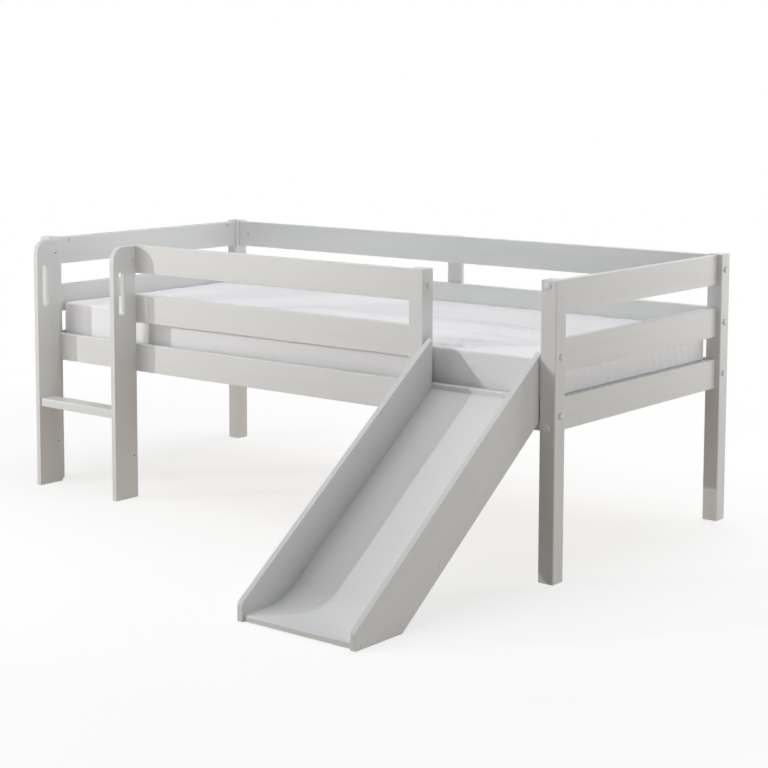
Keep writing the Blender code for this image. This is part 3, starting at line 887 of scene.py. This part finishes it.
begin()
bpy.ops.mesh.primitive_cube_add(size=1, location=(block_low + block_high) / 2)
mattress = bpy.context.object
mattress.name = "mattress_in_sheet"
mattress.scale = block_high - block_low
bpy.ops.object.transform_apply(location=True, rotation=True, scale=True)
bpy.ops.object.mode_set(mode="EDIT")
pick_edges(mattress, upright_edge)
bpy.ops.mesh.bevel(offset=0.024, segments=5, affect="EDGES")
pick_edges(mattress, rim_edge)
bpy.ops.mesh.bevel(offset=0.008, segments=3, affect="EDGES")
bpy.ops.object.mode_set(mode="OBJECT")
block_size = [round(v, 3) for v in mattress.dimensions]
print("foam block:", block_size, len(mattress.data.polygons), "faces")

# %% [markdown]
# Remesh lays an even grid of small faces over the block, which the simulation needs. Pressure
# pushes the cloth out and gravity is off, so the block keeps its size. The foam inside holds the
# cotton back: a pin group with a low weight is a soft spring from each point to its start. The
# cotton is cut a little larger than the foam, which lets it wrinkle. No point may move further
# than the cap.

# %% Blow the sheet up


def apply_modifier(obj, kind, **settings):
    """Adds a modifier with these settings and applies it."""
    modifier = obj.modifiers.new(kind.lower(), kind)
    for key, value in settings.items():
        setattr(modifier, key, value)
    bpy.context.view_layer.objects.active = obj
    bpy.ops.object.modifier_apply(modifier=modifier.name)


last_frame = 20
foam_weight, foam_spring = 0.35, 0.4


def blow_up(obj, pressure, growth, cap):
    """Runs the cloth simulation on a closed form and keeps each point within cap of its start."""
    before = [vert.co.copy() for vert in obj.data.vertices]
    held = obj.vertex_groups.new(name="foam_hold")
    held.add(list(range(len(before))), foam_weight, "REPLACE")
    cloth = obj.modifiers.new("cotton", "CLOTH")
    cloth.settings.vertex_group_mass = held.name
    cloth.settings.pin_stiffness = foam_spring
    cloth.settings.use_pressure = True
    cloth.settings.uniform_pressure_force = pressure
    cloth.settings.shrink_min = -growth
    cloth.settings.effector_weights.gravity = 0
    for step in range(1, last_frame + 1):
        scene.frame_set(step)
    bpy.context.view_layer.objects.active = obj
    bpy.ops.object.modifier_apply(modifier=cloth.name)
    scene.frame_set(1)
    for vert, start in zip(obj.data.vertices, before):
        move = vert.co - start
        if move.length > cap:
            vert.co = start + move * (cap / move.length)


apply_modifier(mattress, "REMESH", mode="VOXEL", voxel_size=0.012)
blow_up(mattress, pressure=4, growth=0.02, cap=0.0025)
apply_modifier(mattress, "SUBSURF", levels=1, render_levels=1)
print("even mesh:", len(mattress.data.polygons), "faces")

# %% [markdown]
# At the slide's opening the sheet is sat on all day, so its folds are sharper there. Only that
# part of the top is cut finer.

# %% Cut the mesh finer at the opening
opening_low, opening_high = at(1.24, 0.05, 0.59), at(1.94, 0.50, 0.64)


def at_opening(face):
    """A face of the mattress's top at the slide's opening."""
    middle = face.calc_center_median()
    inside = all(opening_low[axis] < middle[axis] < opening_high[axis] for axis in range(3))
    return inside and face.normal.z > 0.7


begin()
mattress.select_set(True)
bpy.context.view_layer.objects.active = mattress
bpy.ops.object.mode_set(mode="EDIT")
pick_faces(mattress, at_opening)
bpy.ops.mesh.subdivide(number_cuts=1)
bpy.ops.object.mode_set(mode="OBJECT")
print("finer mesh:", len(mattress.data.polygons), "faces")

# %% [markdown]
# Foam stands highest in the middle of the bed. On top of that crown the sheet has folds: long low
# ones that run along the bed, and short crisp ones at the slide's opening. Each fold is a line on
# the bed's drawing, and every point near it is lifted by a hump that fades out at both ends, and
# is steeper on the left of its way than on the right.

# %% Lines of the folds
sleep_middle = (foam_low + foam_high) / 2
half_size = (foam_high - foam_low) / 2
fold_random = random.Random(7)
gentle_side = 1.6
# Each is start, end, lift, width and roundness: 1 has a sharp crest, 2 a round one.
drawn_folds = [
    ((1.90, 0.440), (1.22, 0.474), 0.0105, 0.015, 1),
    ((1.86, 0.284), (1.38, 0.246), 0.0085, 0.012, 1),
    ((1.54, 0.150), (1.80, 0.222), -0.0070, 0.009, 1),
    ((1.78, 0.090), (1.56, 0.084), 0.0070, 0.009, 1),
    ((1.94, 0.245), (1.68, 0.078), 0.0085, 0.010, 1),
    ((1.66, 0.352), (1.38, 0.380), 0.0050, 0.010, 1),
]
for number in range(16):
    x, y = fold_random.uniform(0.15, 1.3), fold_random.uniform(0.12, 0.74)
    run = Vector((fold_random.uniform(0.25, 0.70), fold_random.uniform(-0.06, 0.06)))
    lift = fold_random.choice((-1, 1)) * fold_random.uniform(0.0012, 0.0030)
    drawn_folds.append(((x, y), (x + run.x, y + run.y), lift, fold_random.uniform(0.018, 0.032), 2))
folds = [(at(*start, 0).to_2d(), at(*end, 0).to_2d(), *shape) for start, end, *shape in drawn_folds]


def fold_lift(point, start, end, lift, width, roundness):
    """How far a fold lifts a point of the top."""
    run = end - start
    share = (point - start).dot(run) / run.length_squared
    if not 0 < share < 1:
        return 0
    side = run.x * (point.y - start.y) - run.y * (point.x - start.x)
    off = abs(side) / run.length
    reach = width if side > 0 else width * gentle_side
    return lift * math.sin(math.pi * share) ** 0.7 * math.exp(-((off / reach) ** roundness))


print("folds:", len(folds))

# %% [markdown]
# The even mesh has rounded the rim more than a tight sheet does. Seen along the rim, each point
# near it lies on some quarter circle. It is moved outwards onto the curve that has fourth powers
# in place of squares, which is a fuller corner. Then the top gets its crown, and its folds, which
# fade out just before the rim.

# %% Fuller rim, crown and folds
rim_reach = 0.022
for vert in mattress.data.vertices:
    from_middle = vert.co - sleep_middle
    inside_x = half_size.x - abs(from_middle.x) - swell_room.x
    inside_y = half_size.y - abs(from_middle.y) - swell_room.y
    inside = min(inside_x, inside_y)
    below = block_high.z - vert.co.z
    side_share, top_reach = 1 - inside / rim_reach, 1 - below / rim_reach
    if 0 < side_share < 1 and 0 < top_reach < 1:
        tighter = (side_share**2 + top_reach**2) ** 0.5 / (side_share**4 + top_reach**4) ** 0.25
        outwards = Vector((from_middle.x, 0, 0))
        if inside_y < inside_x:
            outwards = Vector((0, from_middle.y, 0))
        vert.co += outwards.normalized() * (tighter - 1) * side_share * rim_reach
        vert.co.z += (tighter - 1) * top_reach * rim_reach

top_depth = 0.020
fold_from, fold_fade = 0.010, 0.018
for vert in mattress.data.vertices:
    from_middle = vert.co - sleep_middle
    along = max(0, 1 - abs(from_middle.x / half_size.x) ** 6)
    across = max(0, 1 - abs(from_middle.y / half_size.y) ** 4)
    top_share = min(1, max(0, (vert.co.z - block_high.z + top_depth) / top_depth))
    vert.co.z += top_share * crown * along * across
    inside = min(half_size.x - abs(from_middle.x), half_size.y - abs(from_middle.y))
    if top_share > 0 and inside > fold_from:
        spot = vert.co.to_2d()
        rim_fade = min(1, (inside - fold_from) / fold_fade)
        vert.co.z += top_share * rim_fade * sum(fold_lift(spot, *fold) for fold in folds)
print("top now at", round(max(vert.co.z for vert in mattress.data.vertices), 4))

# %% [markdown]
# The sides of a fitted sheet are never smooth either: the hem's elastic pulls them down in soft
# upright drapes. The underside lies flat on the slats. Round its rim the sheet turns under the
# foam by a hand's width and is gathered there in small pleats by the elastic.

# %% Drapes on the sides, gathers underneath
turned_under = 0.105
pleat_length, pleat_height, pleat_fade = 0.016, 0.0014, 0.06
cover_lift = 0.0022
drape_depth, crease_depth = 0.0008, 0.0006
# The front side's drapes end this far back, clear of the front posts.
front_limit = drawing_origin.y + 0.0556
hem_line = (half_size.x - turned_under, half_size.y - turned_under)


def past_hem(from_middle):
    """How far outside the hem's line a point of the underside lies."""
    return max(abs(from_middle.x) - hem_line[0], abs(from_middle.y) - hem_line[1])


def gather(from_middle):
    """How high the cloth under the foam is lifted off the slats by the elastic's pleats."""
    beyond = past_hem(from_middle)
    if beyond < 0:
        return cover_lift
    long_side = abs(from_middle.y) - hem_line[1] > abs(from_middle.x) - hem_line[0]
    along_hem = from_middle.x if long_side else from_middle.y
    pleat = 0.5 + 0.5 * math.sin(2 * math.pi * along_hem / pleat_length)
    return pleat_height * pleat * max(0, 1 - beyond / pleat_fade)


side_normals = [vert.normal.copy() for vert in mattress.data.vertices]
for vert, normal in zip(mattress.data.vertices, side_normals):
    if abs(normal.z) < 0.7:
        drape = noise.noise(Vector((vert.co.x * 7, vert.co.y * 7, vert.co.z * 5)))
        slant = (vert.co.x + vert.co.y) * 16 + vert.co.z * 22
        crease = noise.noise(Vector((slant, vert.co.z * 34, vert.co.x * 3)))
        vert.co += normal * (drape_depth * drape + crease_depth * crease)
    vert.co.y = max(vert.co.y, front_limit)
    if normal.z < -0.7:
        vert.co.z = foam_low.z + gather(vert.co - sleep_middle)
    vert.co.z = max(vert.co.z, foam_low.z)
mattress.data.materials.append(cotton_sheet)
mattress.data.materials.append(ticking)
for face in mattress.data.polygons:
    if face.normal.z < -0.7 and past_hem(face.center - sleep_middle) < 0:
        face.material_index = 1
mattress.data.shade_smooth()
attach(mattress, "mattress")
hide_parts("mattress")
print("mattress:", [round(v, 3) for v in mattress.dimensions])

# %% [markdown]
# The weave follows the cloth, so it needs coordinates that lie on it. Cube projection lays the
# top, the sides and the underside out flat at true size, one metre to one unit.

# %% Unwrap the sheet
begin()
mattress.select_set(True)
bpy.context.view_layer.objects.active = mattress
bpy.ops.object.mode_set(mode="EDIT")
bpy.ops.mesh.select_all(action="SELECT")
bpy.ops.uv.cube_project(cube_size=1.0, correct_aspect=False, scale_to_bounds=False)
bpy.ops.object.mode_set(mode="OBJECT")
print("cloth coordinates:", mattress.data.uv_layers.active.name)
